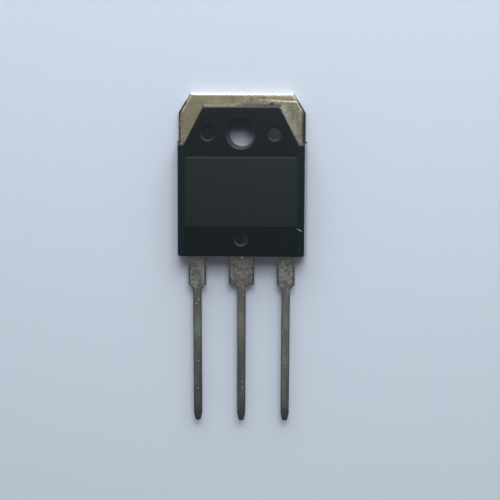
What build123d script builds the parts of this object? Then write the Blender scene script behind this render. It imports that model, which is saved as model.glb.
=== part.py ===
from build123d import *
import os

# Power transistor in a three-lead plastic package with a bare metal tab.
#
# Frame: the origin is on the axis of the mounting hole, at the metal back face. +Z points
# out of the front, where the marking panel is, +Y towards the tab end and +X towards the
# emitter lead. The part lies on its back. Lengths are millimetres, angles are degrees.

# Header: the stamped copper plate, with the tab above the ledge and the die pad below it
header_thickness = 1.5
tab_top = 4.9  # hole axis to the end of the tab
tab_inset = 0.2  # the tab's sides stand back from the body's by this much
tab_corner_x = 1.45  # cut corners of the tab, across
tab_corner_y = 2.4  # and along
tab_edge_radius = 0.3  # rounding that the stamping leaves on the front edges
side_cover = 1.05  # plastic beside the die pad
end_cover = 2.1  # plastic between the die pad and the lead end of the body
lock_width = 0.3  # step round the die pad that holds it in the plastic
lock_height = 0.6
groove_width = 0.35  # grooves across the front that stop creeping flux and moisture
groove_depth = 0.15
upper_groove_gap = 0.3  # below the lining of the mounting hole
lower_groove_rise = 0.8  # above the end of the die pad

# Body: the epoxy moulding
body_width = 15.9  # at the parting plane, as are the next five sizes
body_bottom = 15.1  # hole axis to the lead end
ledge_drop = 1.0  # hole axis down to the ledges beside the nose
nose_top = 3.5  # hole axis to the end of the nose
nose_slant = 2.325  # how far each side of the nose leans in over its height
ledge_width = 0.85
nose_corner_radius = 0.4
end_corner_radius = 0.3
ledge_radius = 0.15  # both corners of each ledge
body_height = 4.75  # without the marking panel
draft_angle = 6.0
edge_radius = 0.1
bore_radius = 1.6  # mounting hole
bore_lining = 0.7  # plastic between the mounting hole and the metal
mouth_width = 0.3  # shallow cone round the mouth of the mounting hole
mouth_depth = 0.1
panel_side_gap = 1.125  # in from the sides of the body
panel_top = 2.8  # hole axis to the panel's upper edge
panel_end_gap = 3.9  # panel's lower edge to the lead end of the body
panel_rise = 0.05
panel_taper = 45.0
panel_corner = 0.35
pin_mark_radius = 0.95  # marks of the pins that hold the header down in the mould
pin_mark_depth = 0.12
pin_mark_taper = 65.0
pin_mark_inset = 3.95  # the two upper marks, in from the sides of the body
pin_mark_rise = 2.5  # the single lower mark, up from the lead end of the body

# Leads
lead_pitch = 5.45
lead_thickness = 0.6
lead_width = 1.03
lead_length = 20.5  # body to tip
tip_length = 1.0
tip_width = 0.6
tip_corner = 0.15
neck_length = 1.2  # body to the stubs that are left of the cut tie bar
stub_end = 3.45  # body to the end of the stubs
stub_cut = 0.075  # how far the stubs stand out beside the necks
outer_neck_width = 2.0
centre_neck_width = 2.95
shelf_radius = 0.35  # inside corners under the centre stub
joggle_length = 0.9  # slope that lifts the centre lead out of the header

# Inside the body
post_gap = 0.4  # between the die pad and the inner ends of the outer leads
post_length = 1.1
post_corner = 0.2
die_size = 4.5
die_thickness = 0.25
die_drop = 7.6  # hole axis to the middle of the die
solder_thickness = 0.08
solder_margin = 0.12
base_bond_x = 1.3  # bonds on the die, from its middle
base_bond_drop = 1.3
emitter_bond_x = 0.9
emitter_bond_drop = 0.6
base_wire_radius = 0.15
emitter_wire_radius = 0.19
emitter_wire_spacing = 1.2
wire_rise = 0.9  # height of the middle of a wire's loop above the die
bond_length = 0.9  # flattened foot at each end of a wire
bond_height = 0.18
bond_spread = 2.8  # width of a foot, in wire radii

# Places that follow from the sizes above
parting_plane = Plane.XY.offset(header_thickness)
tab_width = body_width - 2 * tab_inset
pad_width = body_width - 2 * side_cover
pad_bottom = body_bottom - end_cover
lining_radius = bore_radius + bore_lining
post_top = pad_bottom + post_gap
post_width = pad_width - 2 * lead_pitch  # the posts reach out as far as the die pad
lead_back = header_thickness  # the outer leads lie on the parting plane
lead_front = lead_back + lead_thickness
tip_end = body_bottom + lead_length
die_back = header_thickness + solder_thickness
die_front = die_back + die_thickness

os.makedirs("parts", exist_ok=True)


def save(builder, name):
    """Label a finished piece and write its STEP file."""
    builder.part.label = name
    export_step(builder.part, f"parts/{name}.step")


def upright_edges(builder):
    """The edges that run from the back to the front."""
    return builder.edges().filter_by(lambda edge: abs(edge.tangent_at(0).Z) > 0.5)


def lead_plan(neck_width, slope):
    """Half outline of a lead below the body, from its neck to its tip, along one edge.

    The slope is how far the step from the stub to the lead runs along the lead."""
    stub_half = neck_width / 2 + stub_cut
    stub_start = body_bottom + neck_length
    stub_stop = body_bottom + stub_end
    return [
        (neck_width / 2, -stub_start),
        (stub_half, -stub_start - stub_cut),
        (stub_half, -stub_stop),
        (lead_width / 2, -stub_stop - slope),
        (lead_width / 2, -tip_end + tip_length),
        (tip_width / 2, -tip_end),
        (0, -tip_end),
    ]


# Centre lead: its plan, cut out of a strip that is bent up in a joggle
with BuildPart() as collector_lead:
    joggle_top = -pad_bottom
    joggle_end = joggle_top - joggle_length
    strip_back = header_thickness - lead_thickness
    with BuildSketch(Plane.YZ) as strip_profile:
        with BuildLine():
            Polyline(
                (joggle_top + lead_thickness, strip_back),
                (joggle_top, strip_back),
                (joggle_end, lead_back),
                (-tip_end, lead_back),
                (-tip_end, lead_front),
                (joggle_end, lead_front),
                (joggle_top, header_thickness),
                (joggle_top + lead_thickness, header_thickness),
                close=True,
            )
        make_face()
    extrude(amount=centre_neck_width, both=True)
    with BuildSketch() as centre_plan:
        with BuildLine():
            Polyline(
                (0, joggle_top + lead_thickness),
                (centre_neck_width / 2, joggle_top + lead_thickness),
                *lead_plan(centre_neck_width, 0),
                close=True,
            )
        make_face()
        mirror(about=Plane.YZ)
        tips = centre_plan.vertices().group_by(Axis.Y)[0]
        fillet(tips, tip_corner)
        shelf_y = -body_bottom - stub_end
        shelf = centre_plan.vertices().filter_by_position(Axis.Y, shelf_y, shelf_y)
        fillet(shelf.filter_by_position(Axis.X, -lead_width / 2, lead_width / 2), shelf_radius)
    extrude(amount=lead_front, mode=Mode.INTERSECT)

# Header with the centre lead, one piece of metal
with BuildPart() as heat_spreader:
    with BuildSketch() as header_outline:
        with BuildLine():
            Polyline(
                (0, tab_top),
                (tab_width / 2 - tab_corner_x, tab_top),
                (tab_width / 2, tab_top - tab_corner_y),
                (tab_width / 2, -ledge_drop),
                (pad_width / 2, -ledge_drop),
                (pad_width / 2, -pad_bottom),
                (0, -pad_bottom),
                close=True,
            )
        make_face()
        mirror(about=Plane.YZ)
    extrude(amount=header_thickness)
    front_edges = faces().sort_by(Axis.Z)[-1].edges()
    fillet(front_edges.filter_by(lambda e: e.center().Y > -ledge_drop), tab_edge_radius)
    # The back of the die pad is narrower, so that the plastic grips the step
    with BuildSketch() as lock_step:
        with Locations((0, -(ledge_drop + pad_bottom) / 2)):
            Rectangle(pad_width, pad_bottom - ledge_drop)
        with Locations((0, -(ledge_drop + pad_bottom - lock_width) / 2)):
            Rectangle(
                pad_width - 2 * lock_width,
                pad_bottom - ledge_drop - lock_width,
                mode=Mode.SUBTRACT,
            )
    extrude(amount=lock_height, mode=Mode.SUBTRACT)
    # Grooves above and below the die
    upper_groove_y = -lining_radius - upper_groove_gap - groove_width / 2
    with BuildSketch(Plane.XY.offset(header_thickness)):
        with Locations((0, upper_groove_y), (0, -pad_bottom + lower_groove_rise)):
            Rectangle(pad_width, groove_width)
    extrude(amount=-groove_depth, mode=Mode.SUBTRACT)
    Hole(radius=lining_radius)
    add(collector_lead.part)
save(heat_spreader, "heat_spreader")

# Base lead on the left and emitter lead on the right, each with a bond post inside the body
metal = [heat_spreader]
for name, side in (("base_lead", -1), ("emitter_lead", 1)):
    with BuildPart() as outer_lead:
        with BuildSketch(Plane((side * lead_pitch, 0, lead_back))) as outer_plan:
            with BuildLine():
                Polyline(
                    (0, -post_top),
                    (post_width / 2, -post_top),
                    (post_width / 2, -post_top - post_length),
                    (outer_neck_width / 2, -post_top - post_length),
                    *lead_plan(outer_neck_width, outer_neck_width / 2 + stub_cut - lead_width / 2),
                    close=True,
                )
            make_face()
            mirror(about=Plane.YZ)
            fillet(outer_plan.vertices().group_by(Axis.Y)[0], tip_corner)
            fillet(outer_plan.vertices().group_by(Axis.Y)[-1], post_corner)
        extrude(amount=lead_thickness)
    metal.append(outer_lead)
    save(outer_lead, name)

# Solder and die, one on the other on the die pad
with BuildPart() as die_attach_solder:
    with BuildSketch(Plane((0, -die_drop, header_thickness))):
        Rectangle(die_size + 2 * solder_margin, die_size + 2 * solder_margin)
    extrude(amount=solder_thickness)
    chamfer(faces().sort_by(Axis.Z)[-1].edges(), solder_thickness / 2)
save(die_attach_solder, "die_attach_solder")

with BuildPart() as silicon_die:
    with BuildSketch(Plane((0, -die_drop, die_back))):
        Rectangle(die_size, die_size)
    extrude(amount=die_thickness)
save(silicon_die, "silicon_die")


def bond_wire(start, end, wire_radius):
    """A round wire in one arc from the die to a bond post, with a flattened foot at each end."""
    run = Vector(end) - Vector(start)
    along = Vector(run.X, run.Y, 0)
    heel = bond_length / 4
    with BuildPart() as wire:
        loop_plane = Plane(origin=start, x_dir=along, z_dir=along.cross(Vector(0, 0, 1)))
        with BuildLine(loop_plane) as loop:
            ThreePointArc(
                (heel, wire_radius),
                (along.length / 2, wire_rise),
                (along.length - heel, run.Z + wire_radius),
            )
        with BuildSketch(Plane(origin=loop.line @ 0, z_dir=loop.line % 0)):
            Circle(wire_radius)
        sweep()
        for point in (start, end):
            with BuildSketch(Plane(origin=point, x_dir=along, z_dir=(0, 0, 1))):
                SlotOverall(bond_length, bond_spread * wire_radius)
            extrude(amount=bond_height)
    return wire


# Bond wires, side by side from the die to the posts
post_bond_y = -post_top - post_length / 2
base_wire = bond_wire(
    (-base_bond_x, -die_drop - base_bond_drop, die_front),
    (-lead_pitch, post_bond_y, lead_front),
    base_wire_radius,
)
save(base_wire, "base_bond_wire")
wires = [base_wire]
for number, shift in ((1, -emitter_wire_spacing / 2), (2, emitter_wire_spacing / 2)):
    emitter_wire = bond_wire(
        (emitter_bond_x + shift, -die_drop - emitter_bond_drop, die_front),
        (lead_pitch + shift, post_bond_y, lead_front),
        emitter_wire_radius,
    )
    save(emitter_wire, f"emitter_bond_wire_{number}")
    wires.append(emitter_wire)

# Body, moulded round the metal in two mould halves that part at the header's front face.
# Back half: it meets the tab's wings at the ledges, so only its other sides have draft.
with BuildPart() as mould_back:
    with BuildSketch():
        with Locations((0, -(body_bottom + ledge_drop) / 2)):
            Rectangle(body_width, body_bottom - ledge_drop)
    extrude(amount=header_thickness)
    drafted = faces().filter_by(Axis.Z, reverse=True).sort_by(Axis.Y)[:-1]
    draft(drafted, neutral_plane=-parting_plane, angle=draft_angle)
    fillet(upright_edges(mould_back).group_by(Axis.Y)[0], end_corner_radius)

# Front half, with the nose between the two ledges, then the rest of the body
with BuildPart() as mould_body:
    nose_foot_x = body_width / 2 - ledge_width
    with BuildSketch(parting_plane) as front_outline:
        with BuildLine():
            Polyline(
                (0, -body_bottom),
                (body_width / 2, -body_bottom),
                (body_width / 2, -ledge_drop),
                (nose_foot_x, -ledge_drop),
                (nose_foot_x - nose_slant, nose_top),
                (0, nose_top),
                close=True,
            )
        make_face()
        mirror(about=Plane.YZ)
    extrude(amount=body_height - header_thickness)
    drafted = faces().filter_by(Axis.Z, reverse=True)
    draft(drafted, neutral_plane=parting_plane, angle=draft_angle)
    _, *ledge_rows, _ = upright_edges(mould_body).group_by(Axis.Y)
    fillet([edge for row in ledge_rows for edge in row], ledge_radius)
    fillet(upright_edges(mould_body).group_by(Axis.Y)[-1], nose_corner_radius)
    fillet(upright_edges(mould_body).group_by(Axis.Y)[0], end_corner_radius)
    fillet(faces().sort_by(Axis.Z)[-1].edges(), edge_radius)
    add(mould_back.part)
    # Lining of the header's hole, with the mounting hole through it
    with BuildSketch():
        Circle(lining_radius)
    extrude(amount=header_thickness)
    Hole(radius=bore_radius)
    front_face = faces().sort_by(Axis.Z)[-1]
    chamfer(front_face.inner_wires()[0].edges(), mouth_width, mouth_depth, reference=front_face)
    # Marks of the hold-down pins: one each side of the mounting hole and one at the lead end
    mark_x = body_width / 2 - pin_mark_inset
    with BuildSketch(Plane.XY.offset(body_height)):
        with Locations((-mark_x, 0), (mark_x, 0), (0, -body_bottom + pin_mark_rise)):
            Circle(pin_mark_radius)
    extrude(amount=-pin_mark_depth, taper=pin_mark_taper, mode=Mode.SUBTRACT)
    # Marking panel, just proud of the front
    with BuildSketch(Plane.XY.offset(body_height)):
        panel_length = body_bottom - panel_top - panel_end_gap
        with Locations((0, -panel_top - panel_length / 2)):
            RectangleRounded(body_width - 2 * panel_side_gap, panel_length, panel_corner)
    extrude(amount=panel_rise, taper=panel_taper)
    # Room for all that is moulded in
    for insert in (*metal, die_attach_solder, silicon_die, *wires):
        add(insert.part, mode=Mode.SUBTRACT)
save(mould_body, "mould_body")
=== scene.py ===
import math

import bmesh
import bpy
from bpy.props import FloatProperty, FloatVectorProperty, PointerProperty
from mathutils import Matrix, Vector


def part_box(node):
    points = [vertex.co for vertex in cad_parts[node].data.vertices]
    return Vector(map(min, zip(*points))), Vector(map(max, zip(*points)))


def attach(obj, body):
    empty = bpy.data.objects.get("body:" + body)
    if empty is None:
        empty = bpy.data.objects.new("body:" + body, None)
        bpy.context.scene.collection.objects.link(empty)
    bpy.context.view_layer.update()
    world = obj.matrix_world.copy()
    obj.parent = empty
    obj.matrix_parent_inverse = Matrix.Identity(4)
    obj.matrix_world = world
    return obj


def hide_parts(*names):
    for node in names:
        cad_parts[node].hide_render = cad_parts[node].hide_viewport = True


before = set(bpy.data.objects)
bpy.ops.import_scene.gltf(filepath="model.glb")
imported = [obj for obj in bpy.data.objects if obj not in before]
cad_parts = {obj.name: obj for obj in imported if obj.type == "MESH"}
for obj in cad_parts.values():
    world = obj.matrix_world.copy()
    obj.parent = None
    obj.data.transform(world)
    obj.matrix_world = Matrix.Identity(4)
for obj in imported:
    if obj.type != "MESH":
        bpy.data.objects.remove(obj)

# Power transistor in a three-lead plastic package. The header plate, its centre lead and the
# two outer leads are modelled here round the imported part; the moulding and the pieces inside
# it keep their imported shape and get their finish. Everything is in metres, in the part's own
# frame: the mounting hole is on Z, the leads point along -Y and the front faces +Z.

bl_info = {
    "name": "Power transistor",
    "version": (1, 0, 0),
    "blender": (4, 5, 0),
    "location": "3D View > Sidebar > Transistor",
    "description": "Dresses a packed three-lead power transistor and sets its stage",
    "category": "Object",
}

MM = 0.001
FINE = 1e-7  # tolerance of cuts and merges
ROOT = "root"
SHELF_STEPS = 6  # straight steps in the inside corner under the centre stub
SCRATCH_TURN = -29  # degrees about Z

# Small marks, in linear colour
SCRATCH_TONE = (0.34, 0.36, 0.37)
DIRT_TONE = (0.012, 0.013, 0.014)
# Painted glint on the beads where the centre lead leaves the body
BEAD_GLINT_TONE = (0.9, 0.9, 0.88)

# The camera's place in millimetres and its turns in degrees
CAMERA_PLACE = (5.0, 2.3, 156.7)
CAMERA_TURN = (-6.10, 1.49, 0.20)

# Places on the leads, in millimetres, where a bead of solder has stayed
BEADS = {
    "collector_lead": [(0.0, -15.1), (0.13, -15.2), (0.1, -30.6), (0.17, -31.4), (0.25, -19.9)],
    "base_lead_coated": [(-5.29, -20.4), (-5.54, -20.9), (-5.3, -28.1), (-5.37, -31.6)],
    "emitter_lead_coated": [(5.42, -28.3), (5.38, -31.2), (5.1, -24.5), (5.75, -18.3)],
}

plate_low, plate_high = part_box("heat_spreader")
lead_low, lead_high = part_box("base_lead")
body_low, body_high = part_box("mould_body")
die_low, die_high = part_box("silicon_die")
lead_middle, lead_thick = (lead_low.z + lead_high.z) / 2, lead_high.z - lead_low.z


def size(name, description, millimetres, smallest=0.0):
    """A length that a user can set."""
    return FloatProperty(
        name=name,
        description=description,
        default=millimetres * MM,
        min=smallest * MM,
        precision=5,
        unit="LENGTH",
    )


def place(name, description, x, y):
    """A point on the front that a user can set."""
    return FloatVectorProperty(
        name=name,
        description=description,
        default=(x * MM, y * MM),
        size=2,
        precision=5,
        unit="LENGTH",
    )


def share(name, description, value):
    """A plain number from 0 to 1."""
    return FloatProperty(name=name, description=description, default=value, min=0.0, max=1.0)


def linear(channel):
    """One 0 to 255 display value as the linear value that shaders take."""
    value = channel / 255
    return value / 12.92 if value <= 0.04045 else ((value + 0.055) / 1.055) ** 2.4


def colour(name, description, red, green, blue):
    """A colour that a user can set, given as display values from 0 to 255."""
    return FloatVectorProperty(
        name=name,
        description=description,
        subtype="COLOR",
        size=3,
        min=0.0,
        max=1.0,
        default=(linear(red), linear(green), linear(blue)),
    )


class MouldingSettings(bpy.types.PropertyGroup):
    """Finish of the epoxy moulding."""

    shade: colour("Epoxy", "Colour of the moulding compound", 12, 17, 21)
    bloom: colour("Bloom", "Paler cast where wax has come to the skin", 16, 21, 25)
    panel: colour("Panel", "Colour of the marking panel", 17, 22, 23)
    # Paler and bluer than the epoxy: a painted sheen on the glossy sides
    flank: colour("Flank", "Colour of the moulding's sides", 26, 34, 42)
    # Paler still: painted light on the walls of the hole
    lining: colour("Bore", "Colour of the plastic that lines the hole", 88, 94, 101)
    # Painted highlight along the panel's upper edge; the right-hand mark floors also take it as their
    # tone
    lip_highlight: colour("Panel edge", "Colour of the rubbed upper edge of the panel", 44, 51, 53)
    panel_top: size("Panel top", "Mounting hole down to the panel's upper edge", 2.8)
    margin: colour("Margin", "Cooler cast of the strips beside the panel", 13, 26, 32)
    margin_start: size("Margin start", "Middle of the part to the strips beside the panel", 6.8)
    front_level: size("Front level", "Height above which a surface is the front", 4.35)
    front_height: size("Front height", "Height of the front beside the panel", 4.75)
    panel_level: size("Panel level", "Height above which a surface is the panel", 4.775)
    grain: size("Grain", "Size of the eroded texture of the mould", 0.11)
    scratch: place("Scratch", "Middle of the scratch beside the panel", 7.03, -11.52)
    gloss: share("Roughness", "Roughness of the moulding's skin", 0.26)
    panel_gloss: share("Panel roughness", "Roughness of the panel", 0.36)


class PlateSettings(bpy.types.PropertyGroup):
    """Sizes and finish of the stamped header plate."""

    corner_x: size("Corner across", "Cut corner of the tab, across", 1.45)
    corner_y: size("Corner along", "Cut corner of the tab, along", 2.4)
    ledge: size("Ledge drop", "Mounting hole down to where the tab narrows", 1.0)
    pad_width: size("Pad width", "Width of the die pad inside the moulding", 13.8)
    pad_end: size("Pad end", "Mounting hole down to the end of the die pad", 13.0)
    lock_width: size("Lock width", "Step round the back of the die pad, across", 0.3)
    lock_height: size("Lock height", "Step round the back of the die pad, high", 0.6)
    bore: size("Bore radius", "Hole in the plate, with the plastic lining inside it", 2.3)
    groove_width: size("Groove width", "Grooves across the front of the pad", 0.35)
    groove_depth: size("Groove depth", "Depth of those grooves", 0.15)
    groove_gap: size("Groove gap", "Lining of the hole down to the upper groove", 0.3)
    groove_rise: size("Groove rise", "End of the pad up to the middle of the lower groove", 0.8)
    roll: size("Edge roll", "Rounding that the stamping leaves on the front edge", 0.26)
    roll_height: size("Roll height", "How far that rounding drops at the rim", 0.14)
    roll_shape: share("Roll shape", "A quarter is a flat edge and a half is a round one", 0.3)
    cell: size("Cell", "Spacing of the cuts that let the tab take its dents", 0.3, 0.05)
    wave: size("Waviness", "Unevenness of the tab's front", 0.008)
    dent: size("Dent", "Depth of the pressed corner", 0.012)
    dent_step: size("Dent step", "Width of the slope down into the pressed corner", 0.08)
    dent_start: place("Dent start", "Where the line of the dent begins", 1.9, 4.1)
    dent_end: place("Dent end", "Where it meets the rim", 7.8, 3.72)
    dent_fade: size("Dent fade", "Length over which the dent deepens", 5.6)
    nose_base: size("Nose base", "Half width of the moulding's nose at the ledges", 7.1)
    nose_slant: size("Nose slant", "How far each side of the nose leans in", 2.325)
    nose_top: size("Nose top", "Mounting hole to the end of the nose", 3.5)
    smear: size("Smear", "Middle of the brown smear, right of the hole", 0.6)
    speck: place("Speck", "Speck of dirt against the nose", 3.6, 3.58)
    metal: colour("Plating", "Colour of the tin plating", 204, 195, 168)
    stain: colour("Stain", "Darker cast where the plating has aged", 156, 147, 124)
    # Also painted as a highlight on the tab's rolled end, inside the rim and along the dent's crease
    bare_and_highlight: colour("Bare metal", "Colour where the plating is rubbed bright", 226, 222, 212)
    # Also painted as shade down the rim's sides and along the nose's end
    grime_and_shade: colour("Grime", "Colour of dirt and dull metal", 84, 90, 82)
    gloss: share("Roughness", "Roughness of the plating", 0.25)


class LeadSettings(bpy.types.PropertyGroup):
    """Sizes and finish of the solder-coated leads."""

    pitch: size("Pitch", "Spacing of the lead axes", 5.45)
    width: size("Width", "Width of a lead below its stub", 1.03)
    neck: size("Outer neck", "Width of an outer lead where it leaves the body", 2.0)
    centre_neck: size("Centre neck", "Width of the centre lead where it leaves the body", 2.95)
    post_width: size("Post width", "Bond posts of the outer leads, across", 2.9)
    post_length: size("Post length", "Bond posts of the outer leads, along", 1.1)
    neck_length: size("Neck length", "Body to the stub of the cut tie bar", 1.2)
    stub_end: size("Stub end", "Body to the end of the stub", 3.45)
    stub_cut: size("Stub cut", "How far a stub stands out beside the neck", 0.075)
    shelf_radius: size("Shelf radius", "Inside corner under the centre stub", 0.35)
    tip_length: size("Tip length", "Tapered end of a lead", 1.0)
    tip_width: size("Tip width", "Width at the very end", 0.6)
    tip_corner: size("Tip corner", "Rounded corners of the tip", 0.15)
    joggle: size("Joggle", "Slope that lifts the centre lead out of the plate", 0.9)
    toe_in: size("Toe-in", "How far the left lead's tip leans to the middle", 0.09)
    voxel: size("Skin cell", "Cell of the skin that is wrapped round a lead", 0.055, 0.02)
    lump: size("Solder lumps", "Height of the coarse lumps of solder", 0.012)
    pimple: size("Solder pimples", "Height of the fine unevenness of the solder", 0.006)
    bead: size("Solder beads", "Radius of the small beads of solder on the leads", 0.14)
    metal: colour("Solder", "Colour of the solder coat", 144, 155, 146)
    brown: colour("Brown solder", "Colour where the flux has browned the coat", 140, 135, 129)
    dull: colour("Dull solder", "Colour where the solder has gone dull", 107, 110, 105)
    # Also painted as shade along the leads' edges
    oxide_and_shade: colour("Oxide", "Colour of the thin coat on shoulders and tips", 68, 75, 81)
    # Also painted as glints on beads and grain, and as light just below the body
    bare_and_highlight: colour("Clean solder", "Colour of the beads", 200, 204, 196)
    gloss: share("Roughness", "Roughness of the solder coat", 0.45)


class InsideSettings(bpy.types.PropertyGroup):
    """Finish of the pieces inside the moulding."""

    silicon: colour("Silicon", "Colour of the die", 70, 74, 92)
    metallised: colour("Metallised", "Colour of the contact metal on the die", 190, 190, 188)
    finger: size("Finger pitch", "Spacing of the emitter fingers on the die", 0.36, 0.01)
    solder: colour("Die solder", "Colour of the solder under the die", 150, 152, 156)
    wire: colour("Bond wire", "Colour of the aluminium wires", 214, 214, 210)


class StageSettings(bpy.types.PropertyGroup):
    """Floor, lamps and camera."""

    paper: colour("Paper", "Colour of the floor", 196, 206, 220)
    floor: size("Floor", "Side of the square floor", 900)
    key: FloatProperty(name="Key", description="Power of the high lamp", default=0.4, unit="POWER")
    fill: FloatProperty(name="Fill", description="Power of the low lamp", default=0.27, unit="POWER")
    sky: share("Sky", "Brightness of the room overhead", 0.3)
    shade: share("Shade", "What is left of it where the viewer leans over the part", 0.45)
    horizon: share("Horizon", "Brightness of the room near the horizon", 0.32)
    lens: FloatProperty(name="Lens", description="Focal length of the camera", default=91.3)


# Finishes


def plug(tree, socket, value):
    """Gives a socket a plain value, or links another node's socket to it."""
    if isinstance(value, bpy.types.NodeSocket):
        tree.links.new(value, socket)
    else:
        socket.default_value = value


def add_node(tree, kind, inputs=None, **settings):
    """A node with its settings and its inputs, each a value or another node's socket."""
    made = tree.nodes.new(kind)
    for key, value in settings.items():
        setattr(made, key, value)
    for key, value in (inputs or {}).items():
        plug(tree, made.inputs[key], value)
    return made


class Finish:
    """A procedural material that is built node by node on object coordinates."""

    def __init__(self, name):
        self.material = bpy.data.materials.new(name)
        self.material.use_nodes = True
        self.tree = self.material.node_tree
        self.shader = self.tree.nodes["Principled BSDF"]
        coords = self.add("ShaderNodeTexCoord")
        self.place, self.normal = coords.outputs["Object"], coords.outputs["Normal"]
        self.tone = None

    def add(self, kind, inputs=None, **settings):
        return add_node(self.tree, kind, inputs, **settings)

    def set(self, **values):
        """Plain values, or sockets, on the shader's own sockets."""
        for key, value in values.items():
            plug(self.tree, self.shader.inputs[key.replace("_", " ")], value)

    def math(self, operation, first, second=0.0, third=0.0):
        inputs = {0: first, 1: second, 2: third}
        return self.add("ShaderNodeMath", inputs, operation=operation).outputs[0]

    def times(self, first, *others):
        """Values multiplied with each other."""
        for other in others:
            first = self.math("MULTIPLY", first, other)
        return first

    def most(self, first, *others):
        """The largest of several values."""
        for other in others:
            first = self.math("MAXIMUM", first, other)
        return first

    def scaled(self, value, factor, plus):
        """A value times a factor, plus another value."""
        return self.math("MULTIPLY_ADD", value, factor, plus)

    def less(self, value, taken):
        """A value with another taken off."""
        return self.math("SUBTRACT", value, taken)

    def unsigned(self, value):
        """A value without its sign."""
        return self.math("ABSOLUTE", value)

    def apart(self, first, second):
        """How far two values are from each other."""
        return self.unsigned(self.less(first, second))

    def length(self, vector):
        """The length of a vector."""
        made = self.add("ShaderNodeVectorMath", {0: vector}, operation="LENGTH")
        return made.outputs["Value"]

    def between(self, amount, first, second):
        """Two numbers mixed."""
        return self.add("ShaderNodeMix", {"Factor": amount, 2: first, 3: second}).outputs[0]

    def axis(self, letter, vector=None):
        """One coordinate of the surface point, in metres."""
        split = self.add("ShaderNodeSeparateXYZ", {0: vector or self.place})
        return split.outputs[letter]

    def local(self, place=(0, 0, 0), turn=0.0, stretch=(1, 1, 1)):
        """Coordinates that are measured from a place on the piece, turned about Z."""
        return self.add(
            "ShaderNodeMapping",
            {"Vector": self.place, "Location": place, "Rotation": (0, 0, turn), "Scale": stretch},
            vector_type="TEXTURE",
        ).outputs[0]

    def noise(self, grain, detail=2.0, vector=None, roughness=0.5):
        """Cloudy noise from 0 to 1 whose features are about as large as the grain."""
        inputs = {
            "Vector": vector or self.place,
            "Scale": 1 / grain,
            "Detail": detail,
            "Roughness": roughness,
        }
        return self.add("ShaderNodeTexNoise", inputs).outputs["Fac"]

    def cells(self, grain, vector=None):
        """Distance to the nearest of many scattered points, in cell sizes."""
        inputs = {"Vector": vector or self.place, "Scale": 1 / grain}
        return self.add("ShaderNodeTexVoronoi", inputs).outputs["Distance"]

    def ramp(self, value, low, high, out_low=0.0, out_high=1.0):
        """A smooth step of a value between two limits."""
        inputs = {"Value": value, 1: low, 2: high, 3: out_low, 4: out_high}
        made = self.add("ShaderNodeMapRange", inputs, interpolation_type="SMOOTHSTEP")
        return made.outputs["Result"]

    def fall(self, value, low, high, amount=1.0):
        """A smooth step from an amount down to nothing."""
        return self.ramp(value, low, high, amount, 0.0)

    def mix(self, amount, first, second):
        """Two colours mixed."""
        made = self.add("ShaderNodeMix", {"Factor": amount}, data_type="RGBA")
        for key, value in ((6, first), (7, second)):
            plain = not isinstance(value, bpy.types.NodeSocket)
            plug(self.tree, made.inputs[key], (*value, 1) if plain else value)
        return made.outputs[2]

    def paint(self, amount, colour):
        """Lays a colour over the tone so far."""
        self.tone = self.mix(amount, self.tone, colour)

    def bump(self, height, depth, strength=1.0, over=None):
        """Surface relief of a given depth, over an earlier relief."""
        inputs = {"Height": height, "Distance": depth, "Strength": strength}
        if over is not None:
            inputs["Normal"] = over
        return self.add("ShaderNodeBump", inputs).outputs["Normal"]


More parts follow.
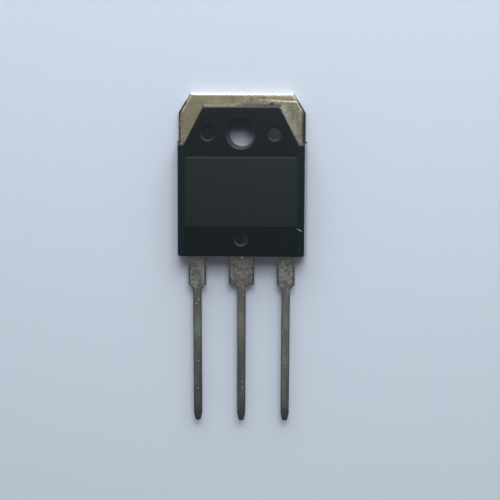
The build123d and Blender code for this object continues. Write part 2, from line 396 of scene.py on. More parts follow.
def moulding_finish(settings):
    """Moulded epoxy: near black with a cool bloom, a matte panel and one scratch."""
    skin = Finish("moulding_compound")
    across, along, height = (skin.axis(letter) for letter in "XYZ")
    aside, edge, level = skin.unsigned(across), settings.margin_start, settings.front_height
    on_panel = skin.ramp(height, settings.panel_level - 0.01 * MM, settings.panel_level)
    front = skin.ramp(height, settings.front_level - 0.05 * MM, settings.front_level + 0.05 * MM)
    clouds = skin.noise(3.2 * MM, 4.0)
    grains = skin.noise(settings.grain, 3.0, roughness=0.7)
    bloom = skin.ramp(skin.scaled(grains, 0.3, clouds), 0.45, 0.95)
    skin.tone = skin.mix(bloom, settings.shade, settings.bloom)

    # Cooler strips beside the panel, and the floors of the round marks
    beside = skin.ramp(aside, edge - 0.1 * MM, edge + 0.1 * MM)
    margin = skin.times(beside, skin.fall(along, -2.5 * MM, -1.0 * MM))
    skin.paint(margin, settings.margin)
    dish = skin.fall(height, level - 0.09 * MM, level - 0.06 * MM, 0.6)
    # The mark floors take the panel colour on the left and the lip highlight colour on the right as
    # their own tone
    skin.paint(dish, skin.mix(skin.ramp(across, 0, MM), settings.panel, settings.lip_highlight))

    # The panel, and a painted highlight along its raised upper edge
    skin.paint(on_panel, settings.panel)
    from_edge = skin.unsigned(skin.math("ADD", along, settings.panel_top + 0.03 * MM))
    lip_highlight = skin.times(
        skin.fall(from_edge, 0.05 * MM, 0.09 * MM),
        skin.fall(aside, edge - 0.3 * MM, edge),
        front,
    )
    skin.paint(lip_highlight, settings.lip_highlight)

    # Sides and hole: the sides paler and bluer than the front, a painted sheen on the glossy walls,
    # and the hole's lining paler still, painted light inside the hole
    flat = skin.add("ShaderNodeCombineXYZ", {0: across, 1: along}).outputs[0]
    bore = skin.fall(skin.length(flat), 1.9 * MM, 2.2 * MM)
    sides = skin.mix(bore, settings.flank, settings.lining)
    skin.tone = skin.mix(front, sides, skin.tone)

    # Scratch beside the panel's lower corner
    scratch = skin.local((*settings.scratch, 0), math.radians(SCRATCH_TURN))
    ragged = skin.scaled(skin.noise(0.09 * MM), 0.09 * MM, skin.unsigned(skin.axis("Y", scratch)))
    width = skin.fall(ragged, 0.055 * MM, 0.1 * MM)
    length = skin.fall(skin.unsigned(skin.axis("X", scratch)), 0.2 * MM, 0.38 * MM)
    skin.paint(skin.times(width, length, front), SCRATCH_TONE)

    # Duller on slopes of the front, glossy on the sides, satin on end walls and in the hole
    rough = skin.scaled(grains, 0.16, settings.gloss - 0.08)
    panel_rough = skin.scaled(grains, 0.1, settings.panel_gloss - 0.05)
    slanted = skin.fall(skin.axis("Z", skin.normal), 0.93, 0.99)
    dished = skin.scaled(slanted, 0.3, skin.between(on_panel, rough, panel_rough))
    end_wall = skin.ramp(skin.axis("Y", skin.normal), 0.55, 0.8)
    on_right = skin.times(skin.ramp(across, -MM, 0.5 * MM), skin.ramp(along, 0, MM))
    end_wall = skin.times(end_wall, skin.scaled(on_right, 0.14, 0.54))
    walls = skin.scaled(skin.most(skin.times(bore, 0.5), end_wall), 0.8, 0.12)
    skin.set(Base_Color=skin.tone, Roughness=skin.between(front, walls, dished), IOR=1.5)
    skin.set(Normal=skin.bump(grains, 0.006 * MM, 0.6))
    skin.set(Specular_IOR_Level=0.4, Specular_Tint=(0.8, 0.95, 1.0, 1.0))
    return skin.material


def plating_finish(settings):
    """Tin plating on stamped copper: streaked by rolling and stained, with a painted highlight and
    painted shade along its rim.
    """
    metal = Finish("tin_plating")
    side, along, nose = metal.axis("X"), metal.axis("Y"), settings.nose_top
    right = metal.math("GREATER_THAN", side, 0.0)
    clouds = metal.noise(1.3 * MM, 4.0, roughness=0.6)
    streaks = metal.noise(0.42 * MM, 3.0, metal.local(turn=math.radians(86), stretch=(9, 1, 1)))
    fine = metal.noise(0.22 * MM, 3.0, roughness=0.6)
    drift = metal.scaled(side, 0.025 / MM, clouds)
    age = metal.ramp(metal.scaled(streaks, 0.8, drift), 0.72, 1.12)
    metal.tone = metal.mix(age, settings.metal, settings.stain)

    # Bare bright flecks and dark spots of dirt
    seeds = metal.fall(metal.cells(0.75 * MM), 0.05, 0.14)
    fleck = metal.times(seeds, metal.ramp(clouds, 0.45, 0.6))
    metal.paint(fleck, settings.bare_and_highlight)
    spots = metal.fall(metal.cells(1.3 * MM, metal.local((3 * MM, 0, 0))), 0.03, 0.1)
    metal.paint(metal.times(spots, 0.7), settings.grime_and_shade)

    # Scuffed bright to the right of the nose
    slant = settings.nose_slant / (nose + settings.ledge)
    wall = metal.scaled(along, slant, side)
    from_nose = metal.less(wall, settings.nose_base - slant * settings.ledge)
    ragged = metal.scaled(streaks, 0.5 * MM, from_nose)
    rubbed = metal.times(
        metal.fall(ragged, 0.3 * MM, 1.2 * MM, 0.5),
        metal.ramp(from_nose, -0.3 * MM, 0.0),
    )
    scoured = metal.times(
        metal.ramp(fine, 0.52, 0.68, 0.0, 0.55),
        right,
        metal.ramp(from_nose, 0.6 * MM, 1.4 * MM),
    )
    beside = metal.fall(along, nose - 0.2 * MM, nose + 0.1 * MM)
    scuff = metal.most(metal.times(rubbed, beside), metal.times(scoured, beside))
    metal.paint(scuff, settings.bare_and_highlight)

    # Painted contact shade along the right half of the nose's end
    half_end = metal.ramp(side, -0.8 * MM, 0.2 * MM)
    dirt = metal.fall(along, nose + 0.1 * MM, nose + 0.35 * MM)
    dirt = metal.times(dirt, metal.times(half_end, 0.4))
    metal.paint(dirt, metal.mix(half_end, settings.bare_and_highlight, settings.grime_and_shade))

    # Brown smear across the middle of the tab, and one speck of dirt against the nose
    smear = metal.times(
        metal.fall(metal.apart(side, settings.smear), 2.2 * MM, 3.6 * MM, 0.4),
        metal.ramp(along, nose, nose + 0.2 * MM),
    )
    metal.paint(smear, settings.stain)
    from_speck = metal.length(metal.local((*settings.speck, 0), stretch=(2.6, 1, 0)))
    speck = metal.fall(metal.scaled(fine, 0.06 * MM, from_speck), 0.12 * MM, 0.16 * MM, 0.85)
    metal.paint(speck, DIRT_TONE)

    # Rim: a near-white painted highlight along the end of the tab, and greenish painted shade down
    # its sides, lighter on the lower left
    top = plate_high.y
    cut = Vector((settings.corner_y, settings.corner_x)).normalized()
    from_side = metal.less(plate_high.x, metal.unsigned(side))
    from_top = metal.less(top, along)
    below = metal.less(from_top, settings.corner_y)
    from_cut = metal.scaled(below, cut.y, metal.times(from_side, cut.x))
    nearest = metal.math("MINIMUM", metal.math("MINIMUM", from_side, from_top), from_cut)
    rim = metal.fall(nearest, 0.8 * settings.roll, settings.roll)
    top_highlight = metal.ramp(metal.scaled(fine, 0.3 * MM, along), top - 1.0 * MM, top - 0.7 * MM)
    lower_left = metal.times(metal.fall(along, 1.4 * MM, 2.0 * MM), metal.less(1.0, right))
    sides = metal.mix(lower_left, settings.grime_and_shade, settings.stain)
    metal.paint(rim, metal.mix(top_highlight, sides, settings.bare_and_highlight))

    # A painted highlight along the crest inside the rim, under a band of painted shade down the lower
    # sides
    edge_shade_band = metal.times(
        metal.fall(metal.scaled(fine, 0.3 * MM, from_side), 0.45 * MM, 0.8 * MM),
        metal.fall(along, 2.2 * MM, 3.4 * MM),
        metal.most(metal.ramp(fine, 0.46, 0.58, 0.1, 0.8), metal.times(right, 0.9)),
    )
    from_crest = metal.apart(nearest, 1.15 * settings.roll)
    rim_crest_highlight = metal.times(
        metal.fall(from_crest, 0.04 * MM, 0.18 * MM, 0.65),
        metal.ramp(fine, 0.35, 0.55),
        metal.less(1.0, edge_shade_band),
    )
    metal.paint(rim_crest_highlight, settings.bare_and_highlight)
    metal.paint(edge_shade_band, settings.grime_and_shade)

    # Pressed corner: a ragged painted highlight along the crease of its line, and duller metal beyond
    # it
    start, cross = dent_line(settings)
    past = metal.scaled(side, cross.x / cross.y, along)
    past = metal.less(past, start.y + start.x * cross.x / cross.y)
    inside = metal.times(
        metal.math("GREATER_THAN", past, 0.0),
        metal.math("GREATER_THAN", side, start.x),
    )
    pressed = metal.fall(past, settings.dent_step, settings.dent_step + 0.5 * MM, 0.4)
    metal.paint(metal.times(pressed, inside), settings.grime_and_shade)
    crease_highlight = metal.times(
        metal.fall(past, 0.5 * settings.dent_step, 1.2 * settings.dent_step, 0.8),
        metal.ramp(fine, 0.36, 0.5, 0.35, 1.0),
        inside,
    )
    metal.paint(crease_highlight, settings.bare_and_highlight)

    rough = metal.scaled(age, 0.1, settings.gloss - 0.05)
    relief = metal.bump(clouds, 0.03 * MM, 0.5)
    relief = metal.bump(fine, 0.006 * MM, 0.6, relief)
    relief = metal.bump(streaks, 0.02 * MM, 0.5, relief)
    pale = metal.most(rim_crest_highlight, metal.times(scuff, 0.35), metal.times(fleck, 0.7), crease_highlight)
    bright = metal.scaled(pale, -0.5, 1.0)
    metal.set(Base_Color=metal.tone, Metallic=bright, Roughness=rough, Normal=relief)
    return metal.material


def solder_finish(settings):
    """Dip-coated leads: mottled dull solder, darker along its shoulders and at the tips."""
    metal = Finish("solder_coat")
    across, along, height = (metal.axis(letter) for letter in "XYZ")
    exit_y, tip_y = body_low.y, lead_low.y
    stub_low, stub_high = exit_y - settings.stub_end, exit_y - settings.neck_length
    clouds = metal.noise(0.8 * MM, 4.0, roughness=0.65)
    fine = metal.noise(0.33 * MM, 3.0, roughness=0.65)
    drawn = metal.noise(1.1 * MM, 3.0, metal.local(stretch=(1, 4, 1)))
    centre = metal.math("LESS_THAN", metal.unsigned(across), settings.pitch / 2)
    upper = metal.ramp(along, stub_low - 0.8 * MM, stub_low)

    # Browned by flux on the centre lead and the stubs, mottled above and drawn out below
    warmth = metal.ramp(metal.scaled(centre, 0.22, metal.noise(2.6 * MM)), 0.5, 0.72)
    warmth = metal.most(warmth, metal.times(upper, 0.5))
    metal.tone = metal.mix(warmth, settings.metal, settings.brown)
    mottled = metal.ramp(metal.scaled(fine, 0.6, clouds), 0.68, 0.92)
    drawn = metal.scaled(across, -0.008 / MM, drawn)
    smooth = metal.ramp(metal.scaled(fine, 0.25, drawn), 0.34, 0.78)
    metal.paint(metal.between(upper, smooth, mottled), settings.dull)

    # Dark pits in the stubs; clean solder on the beads, lightened as a painted glint, painted glints
    # on the grain's crests, and painted light just below the body that lifts its shadow
    pits = metal.times(metal.ramp(fine, 0.54, 0.66, 0.0, 0.3), upper)
    metal.paint(pits, settings.oxide_and_shade)
    bead = metal.ramp(height, lead_high.z + 0.02 * MM, lead_high.z + 0.035 * MM)
    crest_glints = metal.times(metal.scaled(upper, 0.2, 0.1), metal.fall(fine, 0.3, 0.44))
    body_shadow_lift = metal.ramp(along, exit_y - 0.9 * MM, exit_y - 0.4 * MM, 0.0, 0.35)
    metal.paint(metal.most(bead, metal.most(crest_glints, body_shadow_lift)), settings.bare_and_highlight)

    # Painted shade along the edges: over the shoulders, beside the cut tie bar and down the sides of
    # the thin leads; oxide at the tips
    off = metal.unsigned(across)
    off = metal.math("MINIMUM", off, metal.apart(off, settings.pitch))
    half = metal.scaled(centre, (settings.centre_neck - settings.neck) / 2, settings.neck / 2)
    ragged = metal.scaled(clouds, 0.16 * MM, off)
    cheek = metal.fall(metal.less(half, ragged), -0.06 * MM, 0.16 * MM, 0.85)
    flank = metal.ramp(off, 0.28 * settings.width, 0.46 * settings.width, 0.0, 0.55)
    shoulder = metal.most(
        metal.fall(metal.axis("Z", metal.normal), 0.85, 0.99, 0.85),
        metal.times(cheek, metal.fall(along, stub_high, stub_high + 0.3 * MM)),
        metal.times(flank, metal.less(1.0, upper)),
    )
    ageing = metal.fall(along, tip_y + 3 * MM, tip_y + 11 * MM, 0.22)
    metal.paint(ageing, settings.oxide_and_shade)
    tip = metal.scaled(clouds, 1.6 * MM, along)
    tip = metal.fall(tip, tip_y + 1.4 * MM, tip_y + 3.6 * MM, 0.75)
    metal.paint(metal.most(shoulder, tip), settings.oxide_and_shade)

    # Painted glint: near-white, less metallic beads where the centre lead leaves the body
    drop = metal.times(bead, metal.ramp(along, exit_y - 0.7 * MM, exit_y - 0.5 * MM))
    metal.paint(drop, BEAD_GLINT_TONE)
    rough = metal.scaled(fine, 0.2, settings.gloss - 0.1)
    relief = metal.bump(fine, 0.012 * MM, 0.8)
    bright = metal.scaled(drop, -0.8, 1.0)
    metal.set(Base_Color=metal.tone, Metallic=bright, Roughness=rough, Normal=relief)
    return metal.material


def die_finish(settings):
    """Silicon with its interleaved emitter and base metal."""
    chip = Finish("silicon_die")
    middle = (die_low + die_high) / 2
    spot = chip.local(tuple(middle))
    across, along = chip.axis("X", spot), chip.axis("Y", spot)
    comb = chip.math("PINGPONG", across, settings.finger / 2)
    edge = 0.45 * settings.finger / 2
    fingers = chip.ramp(comb, edge, edge + 0.01 * MM)
    half = (die_high.x - die_low.x) / 2
    reach = chip.most(chip.unsigned(across), chip.unsigned(along))
    inside = chip.fall(reach, half - 0.25 * MM, half - 0.22 * MM)
    top = chip.ramp(chip.axis("Z"), die_high.z - 0.02 * MM, die_high.z - 0.01 * MM)
    metal = chip.times(fingers, inside, top)
    grain = chip.noise(0.05 * MM, 2.0)
    tone = chip.mix(metal, settings.silicon, settings.metallised)
    rough = chip.scaled(grain, 0.15, 0.2)
    chip.set(Base_Color=tone, Metallic=metal, Roughness=rough)
    chip.set(Normal=chip.bump(metal, 0.004 * MM))
    return chip.material


def soft_metal_finish(name, tone, grain, roughness):
    """A soft metal with a slightly uneven skin, for the die solder and the bond wires."""
    metal = Finish(name)
    clouds = metal.noise(grain, 3.0, roughness=0.6)
    darker = tuple(channel * 0.7 for channel in tone)
    shade = metal.mix(metal.ramp(clouds, 0.35, 0.7), tone, darker)
    rough = metal.scaled(clouds, 0.2, roughness - 0.1)
    metal.set(Base_Color=shade, Metallic=1.0, Roughness=rough)
    metal.set(Normal=metal.bump(clouds, grain / 20))
    return metal.material


def paper_finish(settings):
    """Pale matte paper with a faint tooth."""
    paper = Finish("paper")
    tooth = paper.noise(0.35 * MM, 4.0, roughness=0.6)
    darker = tuple(channel * 0.97 for channel in settings.paper)
    shade = paper.mix(paper.ramp(tooth, 0.35, 0.65), settings.paper, darker)
    paper.set(Base_Color=shade, Roughness=0.9, Normal=paper.bump(tooth, 0.01 * MM, 0.5))
    paper.set(Specular_IOR_Level=0.2)
    return paper.material


def wear(piece, material):
    """Gives a piece one material."""
    piece.data.materials.clear()
    piece.data.materials.append(material)


# Modelling


def start_clean():
    """Leaves edit mode and deselects everything."""
    if bpy.context.object is not None and bpy.context.object.mode != "OBJECT":
        bpy.ops.object.mode_set(mode="OBJECT")
    bpy.ops.object.select_all(action="DESELECT")


def edit():
    """Goes into edit mode on the active piece with nothing selected."""
    bpy.ops.object.mode_set(mode="EDIT")
    bpy.ops.mesh.select_mode(type="FACE")
    bpy.ops.mesh.select_all(action="DESELECT")


def pick(kind, test):
    """Selects the vertices, edges or faces of the piece in edit mode that pass a test."""
    mesh = bpy.context.edit_object.data
    shape = bmesh.from_edit_mesh(mesh)
    bpy.ops.mesh.select_mode(type=kind)
    bpy.ops.mesh.select_all(action="DESELECT")
    elements = {"VERT": shape.verts, "EDGE": shape.edges, "FACE": shape.faces}[kind]
    count = 0
    for element in elements:
        if test(element):
            element.select_set(True)
            count += 1
    shape.select_flush_mode()
    bmesh.update_edit_mesh(mesh)
    if not count:
        raise RuntimeError(f"nothing to pick on {bpy.context.edit_object.name}")


def take_all():
    """Selects the whole piece in edit mode."""
    bpy.ops.mesh.select_all(action="SELECT")


def settle():
    """Puts the place, turn and scale of the selected piece into its mesh."""
    bpy.ops.object.transform_apply(location=True, rotation=True, scale=True)


def extrude(*step):
    """Draws the selected faces out by a step."""
    bpy.ops.mesh.extrude_region_move(TRANSFORM_OT_translate={"value": step})


def modify(piece, name, kind, **settings):
    """Adds a modifier with its settings."""
    modifier = piece.modifiers.new(name, kind)
    for key, value in settings.items():
        setattr(modifier, key, value)


def cross_cut(axis, places):
    """Cuts the selected faces with planes across an axis, at each place along it."""
    normal = Vector((axis == "X", axis == "Y", axis == "Z"))
    for place in places:
        bpy.ops.mesh.bisect(plane_co=normal * place, plane_no=normal, threshold=FINE)


def activate(piece):
    """Selects one piece alone and makes it the active one."""
    bpy.ops.object.select_all(action="DESELECT")
    piece.select_set(True)
    bpy.context.view_layer.objects.active = piece


def finish_mesh(piece, angle=40):
    """Closes the modelling of a piece: its place goes into the mesh and its normals outwards."""
    bpy.ops.object.mode_set(mode="EDIT")
    take_all()
    bpy.ops.mesh.remove_doubles(threshold=1e-6)
    bpy.ops.mesh.normals_make_consistent(inside=False)
    bpy.ops.object.mode_set(mode="OBJECT")
    activate(piece)
    settle()
    bpy.ops.object.shade_smooth_by_angle(angle=math.radians(angle))


def apply_all(piece):
    """Applies every modifier of a piece in order."""
    activate(piece)
    for modifier in list(piece.modifiers):
        bpy.ops.object.modifier_apply(modifier=modifier.name)


def cut_away(piece, cutters):
    """Takes the cutters' shapes out of a piece and removes them."""
    for cutter in cutters:
        modify(piece, "cut", "BOOLEAN", operation="DIFFERENCE", solver="EXACT", object=cutter)
    apply_all(piece)
    for cutter in cutters:
        bpy.data.objects.remove(cutter)


def block(low, high):
    """A plain block between two corners, used as a cutter."""
    start_clean()
    middle = [(a + b) / 2 for a, b in zip(low, high)]
    bpy.ops.mesh.primitive_cube_add(size=1, location=middle)
    made = bpy.context.object
    made.scale = [b - a for a, b in zip(low, high)]
    settle()
    return made


def drawn_bar(name, stations):
    """A bar drawn from section to section. A station is (y, x, z, width, thickness)."""
    start_clean()
    y, x, z, width, thickness = stations[0]
    bpy.ops.mesh.primitive_plane_add(size=1, location=(x, y, z), rotation=(math.pi / 2, 0, 0))
    bar = bpy.context.object
    bar.name = bar.data.name = name
    edit()
    take_all()
    bpy.ops.transform.resize(value=(width, 1, thickness), center_override=(x, y, z))
    for station in stations[1:]:
        step = [station[1] - x, station[0] - y, station[2] - z]
        ratio = (station[3] / width, 1, station[4] / thickness)
        y, x, z, width, thickness = station
        extrude(*step)
        bpy.ops.transform.resize(value=ratio, center_override=(x, y, z))
    finish_mesh(bar)
    return bar


def clouds_texture(name, grain, depth):
    """Noise for the relief of a mesh."""
    texture = bpy.data.textures.new(name, "CLOUDS")
    texture.noise_scale = grain
    texture.noise_depth = depth
    return texture


def solder_skin(bar, settings, seed):
    """Wraps a bar in an even skin, softens its edges and raises lumps of solder on it."""
    modify(bar, "skin", "REMESH", mode="VOXEL", voxel_size=settings.voxel)
    modify(bar, "soften", "SMOOTH", factor=0.5, iterations=6)
    for label, grain, height in (
        ("lumps", 0.55 * MM, settings.lump),
        ("pimples", 0.2 * MM, settings.pimple),
    ):
        modify(
            bar,
            label,
            "DISPLACE",
            texture=clouds_texture(f"{bar.name}_{label}", grain, 2),
            texture_coords="LOCAL",
            strength=height,
            mid_level=0.5 + 0.02 * seed,
        )
    apply_all(bar)
    finish_mesh(bar, angle=180)


def add_beads(bar, places, radius):
    """Sets small flattened beads of solder on the front of a lead."""
    for x, y in places:
        start_clean()
        bpy.ops.mesh.primitive_uv_sphere_add(
            segments=16,
            ring_count=8,
            radius=radius,
            location=(x * MM, y * MM, lead_high.z),
        )
        bead = bpy.context.object
        bead.scale = (1.0, 0.8, 0.6)
        settle()
        bpy.ops.object.shade_smooth()
        bar.select_set(True)
        bpy.context.view_layer.objects.active = bar
        bpy.ops.object.join()


def build_plate(settings):
    """The header plate: the cut-cornered tab, the die pad with its lock step, and the hole."""
    half, top, thick = plate_high.x, plate_high.y, lead_low.z
    ledge, pad_end = -settings.ledge, -settings.pad_end
    middle = (0, (top + ledge) / 2, thick)
    start_clean()
    bpy.ops.mesh.primitive_plane_add(size=1, location=middle)
    plate = bpy.context.object
    plate.name = plate.data.name = "header_plate"
    edit()
    take_all()
    bpy.ops.transform.resize(value=(2 * half, top - ledge, 1), center_override=middle)
    bpy.ops.object.mode_set(mode="OBJECT")
    settle()
    edit()
    for side in (-1, 1):
        take_all()
        bpy.ops.mesh.bisect(
            plane_co=(side * half, top - settings.corner_y, thick),
            plane_no=(side * settings.corner_y, settings.corner_x, 0),
            clear_outer=True,
            threshold=FINE,
        )
    take_all()
    extrude(0, 0, -thick)
    take_all()
    bpy.ops.mesh.normals_make_consistent(inside=False)

    # Die pad, narrower than the tab
    pick("FACE", lambda face: face.normal.y < -0.9)
    extrude(0, 0, 0)
    narrower = settings.pad_width / (2 * half)
    bpy.ops.transform.resize(value=(narrower, 1, 1), center_override=(0, ledge, thick / 2))
    extrude(0, pad_end - ledge, 0)

    # Rolled front edge of the tab
    def on_rim(edge):
        high = all(vertex.co.z > thick - FINE for vertex in edge.verts)
        above = sum(vertex.co.y for vertex in edge.verts) / 2 > ledge + FINE
        return high and above and any(abs(face.normal.z) < 0.5 for face in edge.link_faces)

    pick("EDGE", on_rim)
    bpy.ops.mesh.bevel(
        offset=settings.roll, segments=8, profile=settings.roll_shape, affect="EDGES"
    )
    flat = settings.roll_height / settings.roll
    pick("VERT", lambda vertex: thick - settings.roll - FINE < vertex.co.z < thick - FINE)
    bpy.ops.transform.resize(value=(1, 1, flat), center_override=(0, 0, thick))

    # Even cells over the tab, so that it can take its dents
    for axis, low, high in (("X", -half, half), ("Y", ledge, top)):
        count = round((high - low) / settings.cell)
        places = [low + (high - low) * step / count for step in range(1, count)]
        for place in places:
            pick("FACE", lambda face: face.calc_center_median().y > ledge + FINE)
            cross_cut(axis, [place])
    cut_dent(settings, thick)
    finish_mesh(plate, angle=25)

    # Dent and waviness of the front
    front = plate.vertex_groups.new(name="front")
    pressed = plate.vertex_groups.new(name="pressed")
    for vertex in plate.data.vertices:
        if vertex.co.z > thick - settings.roll:
            pressed.add([vertex.index], dent_depth(settings, vertex.co), "REPLACE")
            if vertex.co.y > ledge:
                front.add([vertex.index], 1.0, "REPLACE")
    modify(
        plate,
        "press",
        "DISPLACE",
        direction="Z",
        strength=-settings.dent,
        mid_level=0.0,
        vertex_group="pressed",
    )
    modify(
        plate,
        "waves",
        "DISPLACE",
        texture=clouds_texture("tab_waves", 1.6 * MM, 2),
        texture_coords="LOCAL",
        strength=settings.wave,
        mid_level=1.0,
        vertex_group="front",
    )
    apply_all(plate)
    plate.vertex_groups.clear()

    # Step round the back of the pad, grooves across its front, and the hole
    wide, lock, over = settings.pad_width / 2, settings.lock_width, 0.1 * MM
    spans = [
        (-wide - lock, -wide + lock, ledge),
        (wide - lock, wide + lock, ledge),
        (-wide - over, wide + over, pad_end + lock),
    ]
    cutters = [
        block((left, pad_end - over, -over), (right, upper, settings.lock_height))
        for left, right, upper in spans
    ]
    upper_groove = -settings.bore - settings.groove_gap
    lower_groove = pad_end + settings.groove_rise + settings.groove_width / 2
    for groove in (upper_groove, lower_groove):
        cutters.append(
            block(
                (-wide - over, groove - settings.groove_width, thick - settings.groove_depth),
                (wide + over, groove, thick + over),
            )
        )
    start_clean()
    bpy.ops.mesh.primitive_cylinder_add(
        vertices=96, radius=settings.bore, depth=4 * thick, location=(0, 0, thick / 2)
    )
    cutters.append(bpy.context.object)
    cut_away(plate, cutters)
    finish_mesh(plate, angle=17)
    return plate


def dent_line(settings):
    """Where the dent's line begins, and the direction that crosses it towards the tab's end."""
    start, end = Vector(settings.dent_start), Vector(settings.dent_end)
    return start.to_3d(), Vector((start.y - end.y, end.x - start.x, 0)).normalized()


def cut_dent(settings, thick):
    """Cuts the tab's front along the foot and the head of the dent's slope."""
    start, across = dent_line(settings)

    def near(face):
        middle = face.calc_center_median()
        high = middle.z > thick - settings.roll and middle.x > start.x
        return high and abs((middle - start).dot(across)) < 2 * settings.cell

    for step in (0, settings.dent_step):
        pick("FACE", near)
        bpy.ops.mesh.bisect(plane_co=start + across * step, plane_no=across, threshold=FINE)


def dent_depth(settings, spot):
    """How far a spot on the tab's front is pressed down, from 0 to 1."""
    start, across = dent_line(settings)
    past = (spot - start).dot(across)
    depth = min(1.0, max(0.0, past / settings.dent_step))
    return depth * min(1.0, max(0.0, (spot.x - start.x) / settings.dent_fade))


def lead_stations(settings, axis, neck, slope, toe):
    """Sections of a lead from the body down to its tip. The slope runs from stub to lead."""
    exit_y, tip_y = body_low.y, lead_low.y
    stub, straight = neck + 2 * settings.stub_cut, settings.width
    stub_low, radius = exit_y - settings.stub_end, settings.shelf_radius
    stations = [
        (exit_y - settings.neck_length, neck),
        (exit_y - settings.neck_length - settings.stub_cut, stub),
        (stub_low, stub),
    ]
    if slope:
        stations.append((stub_low - slope, straight))
    else:
        for step in range(SHELF_STEPS + 1):
            drop = radius * math.sin(math.radians(90 * step / SHELF_STEPS))
            reach = radius - math.sqrt(max(0.0, radius**2 - (radius - drop) ** 2))
            stations.append((stub_low - drop, straight + 2 * reach))
    start_y = stations[-1][0]

    # The tip tapers, and its corners end in one short step
    corner, ease = settings.tip_corner, settings.tip_corner / 5
    stations.append((tip_y + settings.tip_length, straight))
    stations.append((tip_y + corner, settings.tip_width + 2 * ease))
    stations.append((tip_y + ease, settings.tip_width - 2 * corner))
    placed = []
    for y, width in stations:
        lean = max(0.0, (start_y - y) / (start_y - tip_y))
        x = axis - math.copysign(toe, axis) * lean
        placed.append((y, x, lead_middle, width, lead_thick))
    return placed


def build_outer_lead(settings, name, side, toe):
    """A base or emitter lead, with the bond post at its inner end."""
    axis = side * settings.pitch
    post_end = lead_high.y - settings.post_length
    stations = [
        (lead_high.y, axis, lead_middle, settings.post_width, lead_thick),
        (post_end, axis, lead_middle, settings.post_width, lead_thick),
        (post_end - FINE, axis, lead_middle, settings.neck, lead_thick),
    ]
    slope = (settings.neck + 2 * settings.stub_cut - settings.width) / 2
    bar = drawn_bar(name, stations + lead_stations(settings, axis, settings.neck, slope, toe))
    solder_skin(bar, settings, side)
    add_beads(bar, BEADS[name], settings.bead)
    return bar


def build_centre_lead(settings, plate_settings):
    """The collector lead, which rises from the plate in a joggle."""
    inner_z = lead_low.z - lead_thick / 2
    pad_end, neck = -plate_settings.pad_end, settings.centre_neck
    stations = [
        (pad_end + lead_thick, 0, inner_z, neck, lead_thick),
        (pad_end, 0, inner_z, neck, lead_thick),
        (pad_end - settings.joggle, 0, lead_middle, neck, lead_thick),
    ]
    bar = drawn_bar("collector_lead", stations + lead_stations(settings, 0, neck, 0, 0))
    solder_skin(bar, settings, 0)
    add_beads(bar, BEADS["collector_lead"], settings.bead)
    return bar


# Operators


class TRANSISTOR_OT_moulding(bpy.types.Operator):
    """Gives the epoxy moulding its finish"""

    bl_idname = "transistor.moulding"
    bl_label = "Moulding"

    def execute(self, context):
        settings = context.scene.transistor_moulding
        wear(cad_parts["mould_body"], moulding_finish(settings))
        return {"FINISHED"}


class TRANSISTOR_OT_plate(bpy.types.Operator):
    """Models the header plate with its tab, die pad and dented corner"""

    bl_idname = "transistor.plate"
    bl_label = "Header plate"

    def execute(self, context):
        settings = context.scene.transistor_plate
        plate = build_plate(settings)
        wear(plate, plating_finish(settings))
        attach(plate, ROOT)
        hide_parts("heat_spreader")
        return {"FINISHED"}


class TRANSISTOR_OT_leads(bpy.types.Operator):
    """Models the three solder-coated leads"""

    bl_idname = "transistor.leads"
    bl_label = "Leads"

    def execute(self, context):
        settings = context.scene.transistor_leads
        coat = solder_finish(settings)
        centre = build_centre_lead(settings, context.scene.transistor_plate)
        base = build_outer_lead(settings, "base_lead_coated", -1, settings.toe_in)
        emitter = build_outer_lead(settings, "emitter_lead_coated", 1, settings.toe_in / 2)
        for lead, node in ((centre, "heat_spreader"), (base, "base_lead"), (emitter, "emitter_lead")):
            wear(lead, coat)
            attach(lead, ROOT)
            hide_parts(node)
        return {"FINISHED"}


class TRANSISTOR_OT_inside(bpy.types.Operator):
    """Gives the die, its solder and the bond wires their finish"""

    bl_idname = "transistor.inside"
    bl_label = "Inside pieces"

    def execute(self, context):
        settings = context.scene.transistor_inside
        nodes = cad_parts
        wear(nodes["silicon_die"], die_finish(settings))
        solder = soft_metal_finish("die_solder", settings.solder, 0.3 * MM, 0.5)
        wear(nodes["die_attach_solder"], solder)
        wire = soft_metal_finish("bond_wire", settings.wire, 0.12 * MM, 0.3)
        for name in ("base_bond_wire", "emitter_bond_wire_1", "emitter_bond_wire_2"):
            wear(nodes[name], wire)
        return {"FINISHED"}


class TRANSISTOR_OT_stage(bpy.types.Operator):
    """Sets the floor, the lamps, the room and the camera"""

    bl_idname = "transistor.stage"
    bl_label = "Stage"

    def execute(self, context):
        settings = context.scene.transistor_stage
        build_floor(settings)
        build_lamps(settings)
        build_room(context, settings)
        build_camera(context, settings)
        return {"FINISHED"}


def build_floor(settings):
    """A square of paper under the part."""
    start_clean()
    bpy.ops.mesh.primitive_plane_add(size=settings.floor, location=(0, 0, -0.01 * MM))
    floor = bpy.context.object
    floor.name = "paper_floor"
    settle()
    floor.data.materials.append(paper_finish(settings))


def soft_lamp(name, direction, distance, width, height, power):
    """A rectangular lamp that looks at the part from a direction."""
    aim = Vector((0, -15 * MM, 0))  # about the middle of the part
    towards = Vector(direction).normalized()
    light = bpy.data.lights.new(name, "AREA")
    light.shape = "RECTANGLE"
    light.size, light.size_y = width, height
    light.energy = power
    lamp = bpy.data.objects.new(name, light)
    lamp.location = aim + towards * distance
    lamp.rotation_euler = towards.to_track_quat("Z", "Y").to_euler()
    bpy.context.scene.collection.objects.link(lamp)


def from_sky(azimuth, elevation):
    """A direction, with the azimuth turned from the tab end towards the emitter side."""
    a, e = math.radians(azimuth), math.radians(elevation)
    return (math.sin(a) * math.cos(e), math.cos(a) * math.cos(e), math.sin(e))


def build_lamps(settings):
    """A lamp high beyond the tab end, and a broader, weaker one lower down."""
    high = from_sky(azimuth=10, elevation=63)
    low = from_sky(azimuth=4, elevation=38)
    soft_lamp("key_lamp", high, distance=0.28, width=0.115, height=0.105, power=settings.key)
    soft_lamp("window_lamp", low, distance=0.21, width=0.24, height=0.155, power=settings.fill)


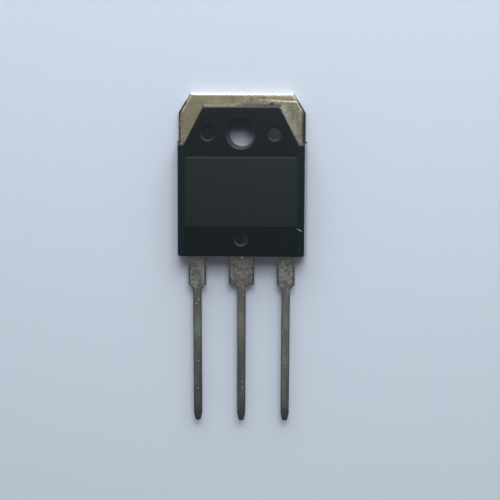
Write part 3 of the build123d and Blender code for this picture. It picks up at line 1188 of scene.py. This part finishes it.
def build_room(context, settings):
    """A plain room, paler towards the horizon and darker where the viewer leans over."""
    viewer = from_sky(azimuth=180, elevation=74)
    outer, inner = math.cos(math.radians(30)), math.cos(math.radians(6))
    world = bpy.data.worlds.new("room")
    world.use_nodes = True
    tree = world.node_tree
    view = add_node(tree, "ShaderNodeTexCoord").outputs["Generated"]
    height = add_node(tree, "ShaderNodeSeparateXYZ", {0: view}).outputs["Z"]
    ends = {0: height, 3: settings.horizon, 4: settings.sky}
    rise = add_node(tree, "ShaderNodeMapRange", ends)
    facing = add_node(tree, "ShaderNodeVectorMath", {0: view, 1: viewer}, operation="DOT_PRODUCT")
    ends = {0: facing.outputs["Value"], 1: outer, 2: inner, 3: 1.0, 4: settings.shade}
    shade = add_node(tree, "ShaderNodeMapRange", ends, interpolation_type="SMOOTHSTEP")
    both = {0: rise.outputs[0], 1: shade.outputs[0]}
    strength = add_node(tree, "ShaderNodeMath", both, operation="MULTIPLY")
    background = tree.nodes["Background"]
    plug(tree, background.inputs["Color"], (1, 1, 1, 1))
    plug(tree, background.inputs["Strength"], strength.outputs[0])
    context.scene.world = world


def build_camera(context, settings):
    """The camera, which looks down on the part."""
    data = bpy.data.cameras.new("camera")
    data.sensor_width = 36
    data.lens = settings.lens
    data.clip_start = 0.01
    data.clip_end = 10
    camera = bpy.data.objects.new("camera", data)
    camera.location = [distance * MM for distance in CAMERA_PLACE]
    camera.rotation_euler = [math.radians(angle) for angle in CAMERA_TURN]
    context.scene.collection.objects.link(camera)
    context.scene.camera = camera
    context.scene.view_settings.view_transform = "Standard"


class TRANSISTOR_PT_panel(bpy.types.Panel):
    """Lists the settings and the operators"""

    bl_label = "Power transistor"
    bl_space_type = "VIEW_3D"
    bl_region_type = "UI"
    bl_category = "Transistor"

    def draw(self, context):
        for pointer, (_, operators) in GROUPS.items():
            box = self.layout.box()
            for operator in operators:
                box.operator(operator.bl_idname)
            settings = getattr(context.scene, pointer)
            for name in settings.__annotations__:
                box.prop(settings, name)


GROUPS = {
    "transistor_moulding": (MouldingSettings, [TRANSISTOR_OT_moulding]),
    "transistor_plate": (PlateSettings, [TRANSISTOR_OT_plate]),
    "transistor_leads": (LeadSettings, [TRANSISTOR_OT_leads]),
    "transistor_inside": (InsideSettings, [TRANSISTOR_OT_inside]),
    "transistor_stage": (StageSettings, [TRANSISTOR_OT_stage]),
}


def register():
    for pointer, (settings, operators) in GROUPS.items():
        bpy.utils.register_class(settings)
        for operator in operators:
            bpy.utils.register_class(operator)
        setattr(bpy.types.Scene, pointer, PointerProperty(type=settings))
    bpy.utils.register_class(TRANSISTOR_PT_panel)


def unregister():
    bpy.utils.unregister_class(TRANSISTOR_PT_panel)
    for pointer, (settings, operators) in GROUPS.items():
        delattr(bpy.types.Scene, pointer)
        for operator in operators:
            bpy.utils.unregister_class(operator)
        bpy.utils.unregister_class(settings)


def main():
    """Builds every piece in order and sets the stage."""
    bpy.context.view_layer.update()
    register()
    bpy.ops.transistor.moulding()
    bpy.ops.transistor.plate()
    bpy.ops.transistor.leads()
    bpy.ops.transistor.inside()
    bpy.ops.transistor.stage()


if __name__ == "__main__":
    main()
